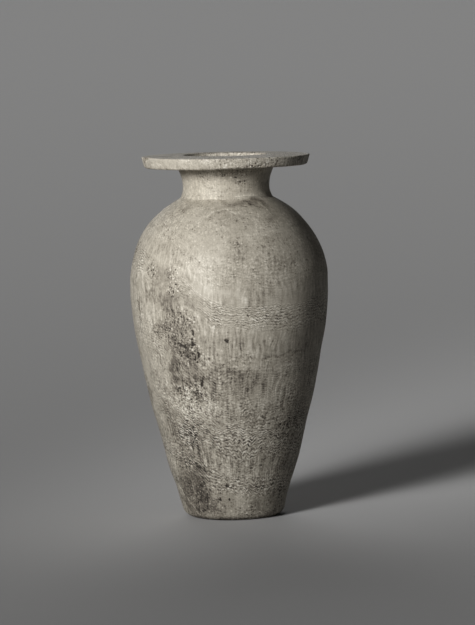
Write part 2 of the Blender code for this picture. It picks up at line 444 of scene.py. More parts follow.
PATCHES["smooth"] = [  # where the whole pattern is fainter
    (150, 380, 8, 38, 12, 0.9),
    (176, 370, 5.5, 14, 10, 0.3),
    (205, 245, 20, 10, 0, 0.5),
    (238, 504, 23, 9, 0, 0.9),
    (270, 503, 14, 10, 0, 0.6),
]
PATCH_DEPTH = 0.030
PATCH_HARDNESS = 3  # how sharply a patch ends
PATCH_WANDER = 0.0035  # how far a patch's outline strays
PATCH_WANDER_SIZE = 0.014

HIDDEN_PATCHES = 46
HIDDEN_PATCH_LOOKS = ["shade", "shade", "grey", "pale", "lines", "fibres", "specks", "smooth"]
HIDDEN_MARKS = 40
HIDDEN_MARK_LENGTHS = [0, 0, 0.002, 0.005]

# Width and depth in millimetres, tone, and the route in pixels
MARKS = [
    # Pits and scratches on the shoulder and down the upper left side
    (0.8, 0.4, 0.7, (183, 211)),
    (0.8, 0.3, 0.6, (222, 237)),
    (0.8, 0.4, 0.7, (237, 242), (238, 244)),
    (0.7, 0.3, 0.6, (149, 266), (147, 271), (149, 276)),
    (0.7, 0.3, 0.6, (152, 272)),
    (0.7, 0.3, 0.6, (157, 277)),
    (0.7, 0.3, 0.6, (147, 279)),
    (0.7, 0.3, 0.6, (173, 273)),
    (0.7, 0.3, 0.6, (175, 284), (177, 285)),
    (1.1, 0.2, 0.6, (140, 297), (139, 304), (140, 313)),
    # The dark mottled part and the middle
    (0.8, 0.3, 0.6, (248, 315), (249, 317)),
    (0.8, 0.6, 0.9, (193, 331), (193, 335)),
    (1.1, 0.6, 1.1, (191.5, 339.5)),
    (1, 0.7, 1.2, (192.5, 343), (193, 345.5)),
    (1.1, 0.7, 1.2, (225.5, 340.3), (227.5, 341.8)),
    (1, 0.5, 0.8, (179.5, 344), (183, 345.5), (186.5, 348)),
    (0.9, 0.5, 0.8, (184, 352.5)),
    (0.9, 0.5, 1, (188, 357.5)),
    (0.9, 0.5, 0.9, (192, 348)),
    (0.8, 0.5, 0.8, (194, 354)),
    (0.9, 0.7, 1.3, (198.5, 353), (199, 357)),
    (0.7, 0.7, 1.1, (195.5, 359.5)),
    (0.9, 0.7, 1.3, (197.5, 362.5)),
    (0.8, 0.5, 1, (209, 359)),
    (0.8, 0.5, 1.1, (212.5, 363)),
    (0.8, 0.5, 1.2, (223.5, 365)),
    (1, 0.4, 0.8, (203.5, 377), (203, 380)),
    (1.2, 0.5, 1.3, (202.5, 382), (202, 385.5)),
    (0.8, 0.4, 0.7, (242.3, 378), (242.3, 379)),
    (0.7, 0.4, 0.7, (247.5, 389), (247.5, 392)),
    (0.6, 0.3, 0.6, (244, 398), (245, 402)),
    (1.1, 0.3, 0.45, (241, 406), (244, 408)),
    # Near the foot
    (1.1, 0.8, 1.7, (227, 486), (228, 486.3)),
    (0.8, 0.3, 1.1, (220.5, 499), (220.7, 500.5)),
    (0.8, 0.3, 1.1, (229.5, 499), (229.5, 500.5)),
    (0.8, 0.3, 0.7, (210, 490)),
    (0.9, 0.3, 0.6, (252, 507)),
    (0.8, 0.2, 0.5, (203, 462), (205, 472)),
    # A faint dark line across the middle
    (1.2, 0.1, 0.18, (205, 355), (214, 356), (225, 355), (236, 358), (248, 357), (262, 360)),
    (
        1.1, 0.1, 0.36,
        (262, 360), (268, 357), (274, 356), (279, 357), (285, 354), (291, 351), (296, 352), (302, 350),
    ),
    # Lines at the top of the shoulder and along the foot of the neck
    (0.9, 0.1, -0.35, (205, 218), (213, 212), (225, 209), (236, 214)),
    (0.6, 0.2, -0.4, (258, 203), (264, 208), (270, 214)),
    # the next two pale lines are painted highlight on the edge at the foot of the neck
    (0.6, 0, -0.22, (210, 198.5), (216, 198.5)),
    (0.4, 0, -0.45, (236, 196.5), (246, 195.6), (254, 195.3), (262, 195.3)),
    (1.2, 0, 0.05, (200, 200.8), (224, 200.6)),
    # painted highlight on the edge at the foot of the neck
    (0.7, 0, -0.35, (260, 193), (265, 196), (271, 199)),
    # Dark marks under the foot of the neck
    (0.9, 0.2, 0.5, (244, 201), (247, 201.5)),
    (0.9, 0.2, 0.5, (249, 204), (254, 205)),
    (0.9, 0.2, 0.4, (243, 206), (247, 206.5)),
    (0.9, 0.2, 0.5, (256, 206.5), (260, 207.5)),
    # The neck and the rim
    (0.9, 0.3, 0.6, (247, 166.5), (249, 166.5)),
    (0.9, 0.3, 0.5, (266, 164.5), (269, 164)),
    (0.6, 0.3, 0.5, (235, 177), (237, 178)),
    (0.6, 0.3, 0.5, (242, 175), (242.5, 177)),
    (0.6, 0.3, 0.5, (246, 178)),
    (0.6, 0.3, 0.5, (200, 177)),
    (0.6, 0.3, 0.5, (204, 178)),
    (0.6, 0.3, 0.5, (240, 181)),
    (0.7, 0.4, 0.6, (250, 165), (253, 166)),
    (0.7, 0.4, 0.6, (257, 166), (262, 165.5)),
    (0.9, 0.5, 0.4, (210.4, 159.6)),
    # Pale streaks down the lower left side
    (1.1, 0, -0.35, (173, 450), (175, 462), (178, 474)),
    (0.8, 0.1, -0.7, (178, 484), (181, 489), (184, 494)),
    (0.7, 0, -0.55, (180, 494), (183, 501)),
    (0.7, 0.1, -0.6, (187, 497), (191, 503), (195, 508)),
]
TRACE_STEP = 2  # pixels between the points of a mark
MARK_REACH = 2.3  # with the next value: a mark is whole within 0.65 of its width and gone beyond 1.15
MARK_STEEPNESS = 2
MARK_RAGGEDNESS = 0.35
MARK_RAGGED_SIZE = 0.0011

CHIP_ROWS = [  # start and end in degrees round the rim, drop and reach in millimetres
    (12, 26, 2.9, 5),
    (66, 68.5, 0.6, 0.9),
    (101, 103.5, 0.5, 0.8),
    (128, 131, 0.7, 1),
    (188, 192, 0.9, 1.4),
    (243, 246, 0.6, 1.2),
    (301, 307, 1, 1.5),
]
CHIPS = [Chip(math.radians(a), math.radians(b), drop / 1000, reach / 1000) for a, b, drop, reach in CHIP_ROWS]
CHIP_END_SHARE = 0.2  # a chip tapers off over this share of its length at each end
CHIP_ROUGHNESS = 0.18
CHIP_ROUGH_SIZE = 0.0030
CHIP_LEAST_SIZE = 0.02

# Where the outline leaves a true turning: side (1 right, -1 left), row, height and depth in millimetres
BULGES = [
    (-1, 222, 10, 0.6),
    (-1, 258, 14, -0.5),
    (-1, 357, 12, -0.4),
    (-1, 428, 14, -0.4),
    (-1, 464, 9, 0.5),
    (-1, 483, 7, -0.5),
    (1, 198, 5, 0.4),
    (1, 211, 8, 0.8),
    (1, 346, 12, -0.6),
    (1, 392, 14, 0.8),
    (1, 455, 18, 1),
    (1, 511, 8, 0.7),
]
ROW_HEIGHT = 0.000833  # height on the jar's side for each row of the photograph

# Wear of the rim's outer corners
WEAR = 0.00035
WEAR_WIDTH = 0.0016
WEAR_MIDDLE = 0.55
WEAR_SWING = 0.45
WEAR_SWING_SIZE = 0.006
WEAR_FINE_SWING = 0.35
WEAR_FINE_SIZE = 0.0022

# The uneven surface, the thicker part of the rim and the line round the foot of the neck
UNEVENNESS = 0.00030
UNEVEN_SIZE = 0.045
STILL_RADIUS = 0.010  # nearer the axis than this the surface moves less
BOX_CLEARANCE = 0.0001  # the surface stays this far inside the plain solid's width
RIM_SAG = 0.0009  # how much lower the rim's underside hangs towards the front left
RIM_SAG_MIDDLE = math.radians(40)
RIM_SAG_REACH = math.radians(66)
RIM_SAG_STEEPNESS = 1.6
RIM_SAG_RUN = 0.008  # it sets in over this length from the neck outwards
NECK_LINE_DEPTH = 0.00018
NECK_LINE_WIDTH = 0.00070
NECK_LINE_BREAK_SIZE = 0.012

# Where the mesh is cut finer
REFINE_ROUNDS = 3
MARK_FINE_REACH = 1.3
MARK_FINE_MARGIN = 0.0006
MARK_FINE_EDGE = 0.5
CHIP_STEPS = 24
CHIP_FINE_REACH = 0.8
CHIP_EDGE = 0.0007


def smooth_step(value):
    """0 below 0, 1 above 1, and an even rise between."""
    share = np.clip(value, 0, 1)
    return share * share * (3 - 2 * share)


def waver(places, size, seed):
    """Smooth noise of this size at each point, mostly from -1 to 1."""
    shift = Vector((seed * 3.7, seed * 5.3, seed * 7.9))
    return np.array([2 * noise.noise(Vector(place) / size + shift) for place in places])


def trace(camera, route):
    """Points on the jar along a route of pixels."""
    spots = [on_photo(camera, *route[0])]
    for start, end in zip(route, route[1:]):
        steps = max(1, round(math.dist(start, end) / TRACE_STEP))
        for i in range(1, steps + 1):
            column = start[0] + (end[0] - start[0]) * i / steps
            row = start[1] + (end[1] - start[1]) * i / steps
            spots.append(on_photo(camera, column, row))
    return spots


def all_marks(camera):
    """Every mark with its points on the jar, also on the sides that the photograph hides."""
    marks = []
    for width, depth, tone, *route in MARKS:
        marks.append(Mark(trace(camera, route), width / 1000, depth / 1000, tone))
    chance = random.Random(7)
    for _ in range(HIDDEN_MARKS):
        angle = math.radians(chance.uniform(-15, 195))
        height = chance.uniform(0.015, 0.240)
        width = chance.uniform(0.0006, 0.0011)
        long = chance.choice(HIDDEN_MARK_LENGTHS)
        drift = chance.uniform(-0.02, 0.02)
        route = [on_side(angle, height), on_side(angle + drift, height + long)]
        tone = chance.uniform(0.5, 1)
        marks.append(Mark(route, width, width / 2, tone))
    return marks


def all_patches(camera):
    """Every patch with its place on the jar, also on the sides that the photograph hides."""
    patches = []
    for kind, rows in PATCHES.items():
        for column, row, wide, tall, lean, amount in rows:
            patch = Patch(kind, wide / 1000, tall / 1000, lean, amount)
            patches.append((patch, on_photo(camera, column, row)))
    chance = random.Random(19)
    for _ in range(HIDDEN_PATCHES):
        kind = chance.choice(HIDDEN_PATCH_LOOKS)
        angle = math.radians(chance.uniform(-10, 190))
        height = chance.uniform(0.01, 0.245)
        wide = chance.uniform(0.006, 0.020)
        tall = chance.uniform(0.005, 0.018)
        amount = chance.uniform(0.3, 0.8)
        lean = chance.uniform(-40, 40)
        patches.append((Patch(kind, wide, tall, lean, amount), on_side(angle, height)))
    return patches


def spots_to_refine(marks):
    """Each spot where the mesh is cut finer, how far round it, and the longest edge left there."""
    spots = []
    for mark in marks:
        reach = MARK_FINE_REACH * mark.width + MARK_FINE_MARGIN
        longest = max(FINE_SPACING, MARK_FINE_EDGE * mark.width)
        spots += [(spot, reach, longest) for spot in mark.route]
    for chip in CHIPS:
        middle = RIM_RADIUS - chip.reach / 2
        for step in range(CHIP_STEPS + 1):
            angle = chip.start + (chip.end - chip.start) * step / CHIP_STEPS
            x = -middle * math.cos(angle) - NECK_OFFSET
            y = -middle * math.sin(angle)
            spots.append((Vector((x, y, RIM_TOP_HEIGHT)), CHIP_FINE_REACH * chip.reach, CHIP_EDGE))
    return spots


def refine(shape, spots):
    """Halves the long edges near these spots, a few times over."""
    for _ in range(REFINE_ROUNDS):
        edges = list(shape.edges)
        tree = KDTree(len(edges))
        for number, edge in enumerate(edges):
            tree.insert((edge.verts[0].co + edge.verts[1].co) / 2, number)
        tree.balance()
        chosen = set()
        for spot, reach, longest in spots:
            close = [number for _place, number, _away in tree.find_range(spot, reach)]
            chosen.update(number for number in close if edges[number].calc_length() > longest)
        picked = [edges[number] for number in sorted(chosen)]
        bmesh.ops.subdivide_edges(shape, edges=picked, cuts=1, use_grid_fill=True)


def chip_rim(places):
    """Slides the points round a chip onto its surface, from the rim's side to its top."""
    out = places + np.array([NECK_OFFSET, 0, 0])
    radius = np.hypot(out[:, 0], out[:, 1])
    angle = np.arctan2(-out[:, 1], -out[:, 0]) % math.tau
    rough = waver(places, CHIP_ROUGH_SIZE, seed=1)
    for chip in CHIPS:
        share = (angle - chip.start) / (chip.end - chip.start)
        size = smooth_step(share / CHIP_END_SHARE) * smooth_step((1 - share) / CHIP_END_SHARE)
        size = size * (1 + CHIP_ROUGHNESS * rough)
        drop = chip.drop * size
        reach = chip.reach * size
        along = (places[:, 2] - RIM_TOP_HEIGHT + drop) + (RIM_RADIUS - radius)
        whole = drop + reach
        on_it = (size > CHIP_LEAST_SIZE) & (along > 0) & (along < whole)
        on_it &= radius > RIM_RADIUS - 2 * chip.reach
        on_it &= places[:, 2] > RIM_TOP_HEIGHT - 2 * chip.drop
        part = along[on_it] / whole[on_it]
        slope = RIM_UNDERCUT * chip.drop / RIM_THICKNESS
        new_radius = RIM_RADIUS - slope * (1 - part) - reach[on_it] * part
        scale = new_radius / radius[on_it]
        places[on_it, 0] = out[on_it, 0] * scale - NECK_OFFSET
        places[on_it, 1] = out[on_it, 1] * scale
        places[on_it, 2] = RIM_TOP_HEIGHT - drop[on_it] * (1 - part)


def sag_rim(places):
    """Lowers the rim's underside where the photograph shows the rim thicker."""
    radius = np.hypot(places[:, 0] + NECK_OFFSET, places[:, 1])
    angle = np.arctan2(-places[:, 1], -places[:, 0] - NECK_OFFSET)
    share = smooth_step(RIM_SAG_STEEPNESS * (1 - np.abs(angle - RIM_SAG_MIDDLE) / RIM_SAG_REACH))
    low = smooth_step((RIM_TOP_HEIGHT - places[:, 2]) / RIM_THICKNESS)
    far_out = smooth_step((radius - NECK_TOP_RADIUS - NECK_TOP_ROUNDING) / RIM_SAG_RUN)
    on_rim = places[:, 2] > RIM_UNDER_HEIGHT - FINE_SPACING
    places[:, 2] -= RIM_SAG * share * low * far_out * on_rim


def wear_rim(places):
    """Rounds the rim's two outer corners by as much as they have been knocked and rubbed."""
    out = places + np.array([NECK_OFFSET, 0, 0])
    radius = np.hypot(out[:, 0], out[:, 1])
    swing = WEAR_SWING * waver(places, WEAR_SWING_SIZE, seed=2)
    fine_swing = WEAR_FINE_SWING * waver(places, WEAR_FINE_SIZE, seed=3)
    amount = WEAR * (WEAR_MIDDLE + swing + fine_swing)
    for height, way in ((RIM_TOP_HEIGHT, -1), (RIM_UNDER_HEIGHT, 1)):
        corner = RIM_RADIUS - (RIM_UNDERCUT if way > 0 else 0)
        away = np.hypot(radius - corner, places[:, 2] - height)
        push = np.clip(amount, 0, None) * smooth_step(1 - away / WEAR_WIDTH)
        places[:, 0] -= out[:, 0] / radius * push
        places[:, 1] -= out[:, 1] / radius * push
        places[:, 2] += way * push


def uneven(places):
    """Moves the surface in and out as hand work leaves it.

    Adds the bulges that the photograph's outline shows, and the line round the foot of the neck.
    """
    radius = np.maximum(np.hypot(places[:, 0], places[:, 1]), 1e-6)
    push = UNEVENNESS * waver(places, UNEVEN_SIZE, seed=4)
    push = push + UNEVENNESS / 3 * waver(places, UNEVEN_SIZE / 3, seed=5)
    for side, row, tall, out in BULGES:
        height = AIM_HEIGHT + (PHOTO_HEIGHT / 2 - row) * ROW_HEIGHT
        facing = np.clip(side * places[:, 0] / radius, 0, 1) ** 2
        push += out / 1000 * facing * np.exp(-(((places[:, 2] - height) / (tall / 1000)) ** 2))
    broken = 0.5 + 0.5 * waver(places, NECK_LINE_BREAK_SIZE, seed=6)
    off_line = (places[:, 2] - NECK_FOOT_HEIGHT) / NECK_LINE_WIDTH
    push -= NECK_LINE_DEPTH * np.clip(broken, 0.1, 1) * np.exp(-(off_line**2))
    moving = smooth_step(radius / STILL_RADIUS)
    wanted = np.minimum(radius + push * moving, BELLY_RADIUS - BOX_CLEARANCE)
    places[:, :2] *= (wanted / radius)[:, None]


def distance_to(route, places):
    """How far each point is from a route of straight pieces."""
    ends = np.array(route if len(route) > 1 else [route[0], route[0]])
    nearest = np.full(len(places), np.inf)
    for start, end in zip(ends, ends[1:]):
        run = end - start
        share = np.clip((places - start) @ run / max(run @ run, 1e-12), 0, 1)
        nearest = np.minimum(nearest, np.linalg.norm(places - start - share[:, None] * run, axis=1))
    return nearest


def cut_marks(places, normals, marks):
    """Presses each mark into the surface, and returns how dark or pale that leaves each point."""
    tree = KDTree(len(places))
    for number, place in enumerate(places):
        tree.insert(place, number)
    tree.balance()
    tone = np.zeros(len(places))
    for mark in marks:
        reach = 2 * mark.width + BODY_SPACING
        found = {number for spot in mark.route for _place, number, _away in tree.find_range(spot, reach)}
        close = np.array(sorted(found))
        ragged = 1 + MARK_RAGGEDNESS * waver(places[close], MARK_RAGGED_SIZE, seed=8)
        away = distance_to(mark.route, places[close])
        share = smooth_step(MARK_REACH - MARK_STEEPNESS * away / mark.width * ragged)
        places[close] -= normals[close] * (mark.depth * share)[:, None]
        stronger = np.abs(mark.tone * share) > np.abs(tone[close])
        tone[close] = np.where(stronger, mark.tone * share, tone[close])
    return tone


def patch_share(places, patch, middle):
    """How much of a patch each point has: 1 in its middle, 0 well outside it."""
    outward = np.array([middle.x, middle.y, 0]) / math.hypot(middle.x, middle.y)
    level = np.array([-outward[1], outward[0], 0])
    lean = math.radians(patch.lean)
    away = places - np.array(middle)
    across = away @ (level * math.cos(lean) + np.array([0, 0, math.sin(lean)]))
    up = away @ (np.array([0, 0, math.cos(lean)]) - level * math.sin(lean))
    deep = away @ outward
    far = (across / patch.wide) ** 2 + (up / patch.tall) ** 2 + (deep / PATCH_DEPTH) ** 2
    return np.exp(-(far**PATCH_HARDNESS))


def patch_looks(places, camera):
    """How much of each look every point gets from the patches, whose outlines wander a little."""
    looks = {kind: np.zeros(len(places)) for kind in PATCHES}
    wander = np.stack([waver(places, PATCH_WANDER_SIZE, seed) for seed in (9, 10, 11)], -1)
    strayed = places + PATCH_WANDER * wander
    for patch, middle in all_patches(camera):
        looks[patch.look] += patch.amount * patch_share(strayed, patch, middle)
    return looks


def make_jar(camera):
    """The jar's visible piece, in place of the plain solid."""
    mesh, shape = make_shape()
    marks = all_marks(camera)
    refine(shape, spots_to_refine(marks))
    shape.normal_update()
    places = np.array([vert.co for vert in shape.verts])
    normals = np.array([vert.normal for vert in shape.verts])
    chip_rim(places)
    wear_rim(places)
    sag_rim(places)
    uneven(places)
    looks = {"mark": cut_marks(places, normals, marks)}
    looks.update(patch_looks(places, camera))
    for vert, place in zip(shape.verts, places):
        vert.co = place
    shape.to_mesh(mesh)
    shape.free()
    for name, values in looks.items():
        carried = mesh.attributes.new(name, "FLOAT", "POINT")
        carried.data.foreach_set("value", values.astype(np.float32))
    mesh.shade_smooth()
    jar = add_object("jar_stone", mesh)
    jar.data.materials.append(calcite())
    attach(jar, "root")
    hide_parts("jar")
    return jar


# Banded calcite: a stack of layers through the block, of upright crystals. Sizes are millimetres

# Height in the stack, strength of the layers, fibres and specks, and how jagged the layers are
BANDS = [
    (0, 0.2, 0.35, 0.7, 0.5),
    (22, 0.2, 0.35, 0.7, 0.5),
    (26, 1, 0.25, 0.25, 0.8),
    (36, 0.9, 0.3, 0.25, 0.9),
    (41, 0.35, 0.8, 0.4, 1),
    (53, 0.4, 0.7, 0.4, 1),
    (58, 1, 0.3, 0.35, 1),
    (79, 0.9, 0.3, 0.4, 0.9),
    (86, 0.7, 0.7, 0.6, 0.8),
    (131, 0.55, 0.75, 0.65, 0.7),
    (143, 0.15, 0.9, 0.45, 0.4),
    (158, 0.15, 0.9, 0.4, 0.4),
    (163, 1.2, 0.25, 0.35, 0.8),
    (180, 1.25, 0.25, 0.3, 0.8),
    (186, 0.15, 0.75, 0.25, 0.3),
    (197, 0.15, 0.8, 0.3, 0.3),
    (203, 0.25, 0.45, 0.65, 0.4),
    (236, 0.15, 0.3, 0.6, 0.3),
    (262, 0.1, 0.3, 0.45, 0.3),
    (286, 0.1, 0.35, 0.6, 0.3),
    (290, 0.25, 0.9, 1.3, 0.3),
]
STACK_HEIGHT = 300.0
FOLD_X = -13.0  # left of here the layers dip
FOLD_DIP = 0.80
FOLD_SOFTNESS = 14.0
WARP_SIZE = 60.0
WARP_HEIGHT = 5.0
FINE_WARP_SIZE = 17.0
FINE_WARP_HEIGHT = 1.6

# Layers, jagged where the crystals' tips stand in them
LINE_PITCH = 2.45
LINE_WAVE = 0.85
LINE_BREAK_SIZE = 1.7
LINE_BREAKS = (-0.35, 1.75)
STREAKS = 0.75
STREAK_STRETCH = (0.40, 0.40, 1)
LAYER_TONE_SIZE = 5.5
LAYER_TONE_STRETCH = (0.16, 0.16, 1)
CRYSTAL_WIDTH = 3.8
CRYSTAL_MIDDLE = 0.4
ZIGZAG_HEIGHT = 3.3
RIPPLE_SIZE = 2.0
RIPPLE_HEIGHT = 0.50

# Fibres and grains
FIBRE_WIDTH = 1.7
FIBRE_STRETCH = 0.13
FIBRE_ROUND = 70.0  # the fibres are as wide at the neck as they would be at this radius
FIBRE_SWAY = 1.6
FIBRE_SWAY_SIZE = 22.0
GRAIN_SIZE = 1.8
GRAIN_EDGE = (0.62, 0.15)
SPECK_SIZE = 1.2
BLOTCH_SIZE = 3.4
CLOUD_SIZE = 13.0

# How much each of them counts in the stone's tone, which runs from 0, dark, to 1, pale
LINE_STRENGTH = 0.20
FIBRE_STRENGTH = 0.19
GRAIN_STRENGTH = 0.40
SPECK_STRENGTH = 0.13
BLOTCH_STRENGTH = 0.055
CLOUD_STRENGTH = 0.045
LAYER_TONE_STRENGTH = 0.045

# How much of the pattern is kept from place to place, in smooth patches and towards the foot
KEEP_SIZE = 15.0
KEEP_RANGE = (0.7, 1.3)
KEEP_SMOOTH = -0.75
KEEP_LOWER = 0.65
KEEP_LOWER_HEIGHTS = (150, 30)

# The stone's tone, and what stains, patches, marks and height add to it, part of it painted shade and painted
# light
MIDDLE_TONE = 0.56
STAIN_TONE = -0.25
STAIN_RAGGED_SIZE = 6.0
STAIN_RAGGED = (0.35, 1.65)
STAIN_EDGE = (0.10, 1.10)
STAIN_SPECKLE = 0.35
SHADE_TONE = -0.23
PALE_TONE = 0.11
MARK_TONE = -0.42
HEIGHT_TONES_AND_PAINTED_LIGHT = [  # the height where it sets in, the height where it is whole, and what it adds
    # darker towards the foot: partly greyer stone, partly painted shade where less light reaches the lower
    # body
    (165, 10, -0.08),
    # a dark line round the foot's edge: painted shadow where the jar meets the floor
    (4.0, 0.5, -0.32),
    # the rim's side paler: painted light
    (289, 298, 0.08),
    # the rim's top darker: painted shade
    (299.15, 299.45, -0.15),
]
ROUGHNESS = 0.72
ROUGHNESS_OF_PALE = -0.20
GLOSS = 0.35
BUMP_STRENGTH = 0.3
BUMP_HEIGHT = 0.0004  # metres
NOISE_RANGE = (0.3, 0.7)  # most of Blender's noise lies between these
STONE_COLOURS = [
    (0, (0.06, 0.052, 0.043, 1)),
    (0.25, (0.215, 0.192, 0.16, 1)),
    (0.5, (0.44, 0.405, 0.34, 1)),
    (0.75, (0.64, 0.6, 0.52, 1)),
    (1, (0.82, 0.785, 0.705, 1)),
]


def node(tree, kind, inputs, output=0, **settings):
    """Adds a node, fed by values or by other nodes' outputs, and returns one of its outputs."""
    made = tree.nodes.new("ShaderNode" + kind)
    for name, value in settings.items():
        setattr(made, name, value)
    for key, value in inputs.items():
        if isinstance(value, bpy.types.NodeSocket):
            tree.links.new(value, made.inputs[key])
        else:
            made.inputs[key].default_value = value
    return made.outputs[output]


def calc(tree, operation, *values):
    """A sum worked out from plain values and outputs."""
    return node(tree, "Math", dict(enumerate(values)), operation=operation)


def times(tree, first, second):
    """The product of two values."""
    return calc(tree, "MULTIPLY", first, second)


def plus(tree, total, part, strength):
    """The total with a part added at some strength."""
    return calc(tree, "MULTIPLY_ADD", part, strength, total)


def stretched(tree, place, factors):
    """Coordinates multiplied along each axis."""
    return node(tree, "VectorMath", {0: place, 1: factors}, operation="MULTIPLY")


def mottle(tree, place, size, detail=1.0, low=-1.0, high=1.0):
    """Noise of this size, mostly between low and high."""
    raw = node(tree, "TexNoise", {"Vector": place, "Scale": 1 / size, "Detail": detail, "Roughness": 0.5})
    least, most = NOISE_RANGE
    limits = {"Value": raw, "From Min": least, "From Max": most, "To Min": low, "To Max": high}
    return node(tree, "MapRange", limits, clamp=False)


def rise(tree, value, low, high):
    """0 where the value is below low, 1 above high, and an even rise between."""
    limits = {"Value": value, "From Min": low, "From Max": high}
    return node(tree, "MapRange", limits, interpolation_type="SMOOTHSTEP")


def along_axis(tree, place, axis):
    """One of the coordinates of a place."""
    return node(tree, "SeparateXYZ", {"Vector": place}).node.outputs[axis]


def look(tree, name):
    """A look that the mesh carries on its points."""
    return node(tree, "Attribute", {}, output="Fac", attribute_name=name)


def ramp(tree, value, stops):
    """A colour ramp, as its node."""
    colour = node(tree, "ValToRGB", {"Fac": value})
    elements = colour.node.color_ramp.elements
    while len(elements) < len(stops):
        elements.new(1.0)
    for element, (position, shade) in zip(elements, stops):
        element.position = position
        element.color = shade
    return colour.node


def stack_height(tree, place):
    """Height in the stack of layers: level on the right, dipping left of the fold, and gently warped."""
    left_of_fold = calc(tree, "SUBTRACT", FOLD_X, along_axis(tree, place, "X"))
    past = calc(tree, "SMOOTH_MAX", left_of_fold, 0.0, FOLD_SOFTNESS)
    level = plus(tree, along_axis(tree, place, "Z"), past, -FOLD_DIP)
    warped = plus(tree, level, mottle(tree, place, WARP_SIZE), WARP_HEIGHT)
    return plus(tree, warped, mottle(tree, place, FINE_WARP_SIZE), FINE_WARP_HEIGHT)


def fibre_coordinates(tree, place):
    """Coordinates that change fast round the jar and slowly along its side, so fibres run down the side."""
    level = stretched(tree, place, (1, 1, 0))
    radius = node(tree, "VectorMath", {0: level}, output="Value", operation="LENGTH")
    round_it = node(tree, "VectorMath", {0: level}, operation="NORMALIZE")
    sway = times(tree, mottle(tree, place, FIBRE_SWAY_SIZE), FIBRE_SWAY)
    upward = along_axis(tree, place, "Z")
    along = times(tree, calc(tree, "SUBTRACT", upward, radius), FIBRE_STRETCH)
    swayed = node(tree, "CombineXYZ", {"X": sway, "Y": sway, "Z": along})
    return node(tree, "VectorMath", {0: round_it, 1: (FIBRE_ROUND,) * 3, 2: swayed}, operation="MULTIPLY_ADD")


def grain_spots(tree, place):
    """Round grains, each a little paler or darker than the stone about it."""
    cell = node(tree, "TexVoronoi", {"Vector": place, "Scale": 1 / GRAIN_SIZE}).node.outputs
    shade = node(tree, "SeparateColor", {"Color": cell["Color"]})
    shade = calc(tree, "MULTIPLY_ADD", shade, 2.0, -1.0)
    strong = times(tree, shade, calc(tree, "ABSOLUTE", shade))
    return times(tree, strong, rise(tree, cell["Distance"], *GRAIN_EDGE))


def zone_shares(tree, height):
    """How strong layers, fibres and specks are at a height in the stack, and how jagged the layers."""
    stops = [(upward / STACK_HEIGHT, shares) for upward, *shares in BANDS]
    zone = ramp(tree, calc(tree, "DIVIDE", height, STACK_HEIGHT), stops)
    kinds = node(tree, "SeparateColor", {"Color": zone.outputs["Color"]}).node.outputs
    return kinds["Red"], kinds["Green"], kinds["Blue"], zone.outputs["Alpha"]


def jagged_height(tree, place, down_the_side, height, zigzag):
    """Height in the stack once the crystals' tips have bent the layers into teeth."""
    cells = {"Vector": down_the_side, "Scale": 1 / CRYSTAL_WIDTH}
    crystal = node(tree, "TexVoronoi", cells, output="Distance")
    tooth = times(tree, calc(tree, "SUBTRACT", crystal, CRYSTAL_MIDDLE), ZIGZAG_HEIGHT)
    jagged = plus(tree, height, tooth, zigzag)
    return plus(tree, jagged, mottle(tree, place, RIPPLE_SIZE), RIPPLE_HEIGHT)


def layers(tree, place, jagged):
    """The thin layers, and the broader tones that run along them."""
    wave = calc(tree, "SINE", times(tree, jagged, math.tau / LINE_PITCH))
    apart = node(tree, "SeparateXYZ", {"Vector": place}).node.outputs
    layered = node(tree, "CombineXYZ", {"X": apart["X"], "Y": apart["Y"], "Z": jagged})
    streaks = mottle(tree, stretched(tree, layered, STREAK_STRETCH), 1.0)
    breaks = mottle(tree, place, LINE_BREAK_SIZE, 1.0, *LINE_BREAKS)
    laminae = times(tree, times(tree, wave, breaks), LINE_WAVE)
    laminae = plus(tree, laminae, streaks, STREAKS)
    tones = mottle(tree, stretched(tree, layered, LAYER_TONE_STRETCH), LAYER_TONE_SIZE, 2.0)
    return laminae, tones


def stone_pattern(tree, place, speckle):
    """The fine pattern of layers, fibres and specks, and the broader tones along the layers."""
    height = stack_height(tree, place)
    lines, fibres, specks, zigzag = zone_shares(tree, height)
    down_the_side = fibre_coordinates(tree, place)
    jagged = jagged_height(tree, place, down_the_side, height, zigzag)
    laminae, tones = layers(tree, place, jagged)
    line_share = calc(tree, "MAXIMUM", calc(tree, "ADD", lines, look(tree, "lines")), 0.0)
    fibre_share = calc(tree, "ADD", fibres, look(tree, "fibres"))
    speck_share = calc(tree, "ADD", specks, look(tree, "specks"))
    threads = mottle(tree, down_the_side, FIBRE_WIDTH, 3.0)
    pattern = times(tree, times(tree, laminae, line_share), LINE_STRENGTH)
    pattern = plus(tree, pattern, times(tree, threads, fibre_share), FIBRE_STRENGTH)
    pattern = plus(tree, pattern, times(tree, grain_spots(tree, place), speck_share), GRAIN_STRENGTH)
    pattern = plus(tree, pattern, times(tree, speckle, speck_share), SPECK_STRENGTH)
    pattern = plus(tree, pattern, mottle(tree, place, BLOTCH_SIZE), BLOTCH_STRENGTH)
    return pattern, tones


def stains(tree, place, speckle):
    """Grey stains with ragged edges, speckled like the stone."""
    ragged = times(tree, mottle(tree, place, STAIN_RAGGED_SIZE, 4.0, *STAIN_RAGGED), look(tree, "grey"))
    speckled = plus(tree, 1.0, speckle, STAIN_SPECKLE)
    return times(tree, rise(tree, ragged, *STAIN_EDGE), speckled)


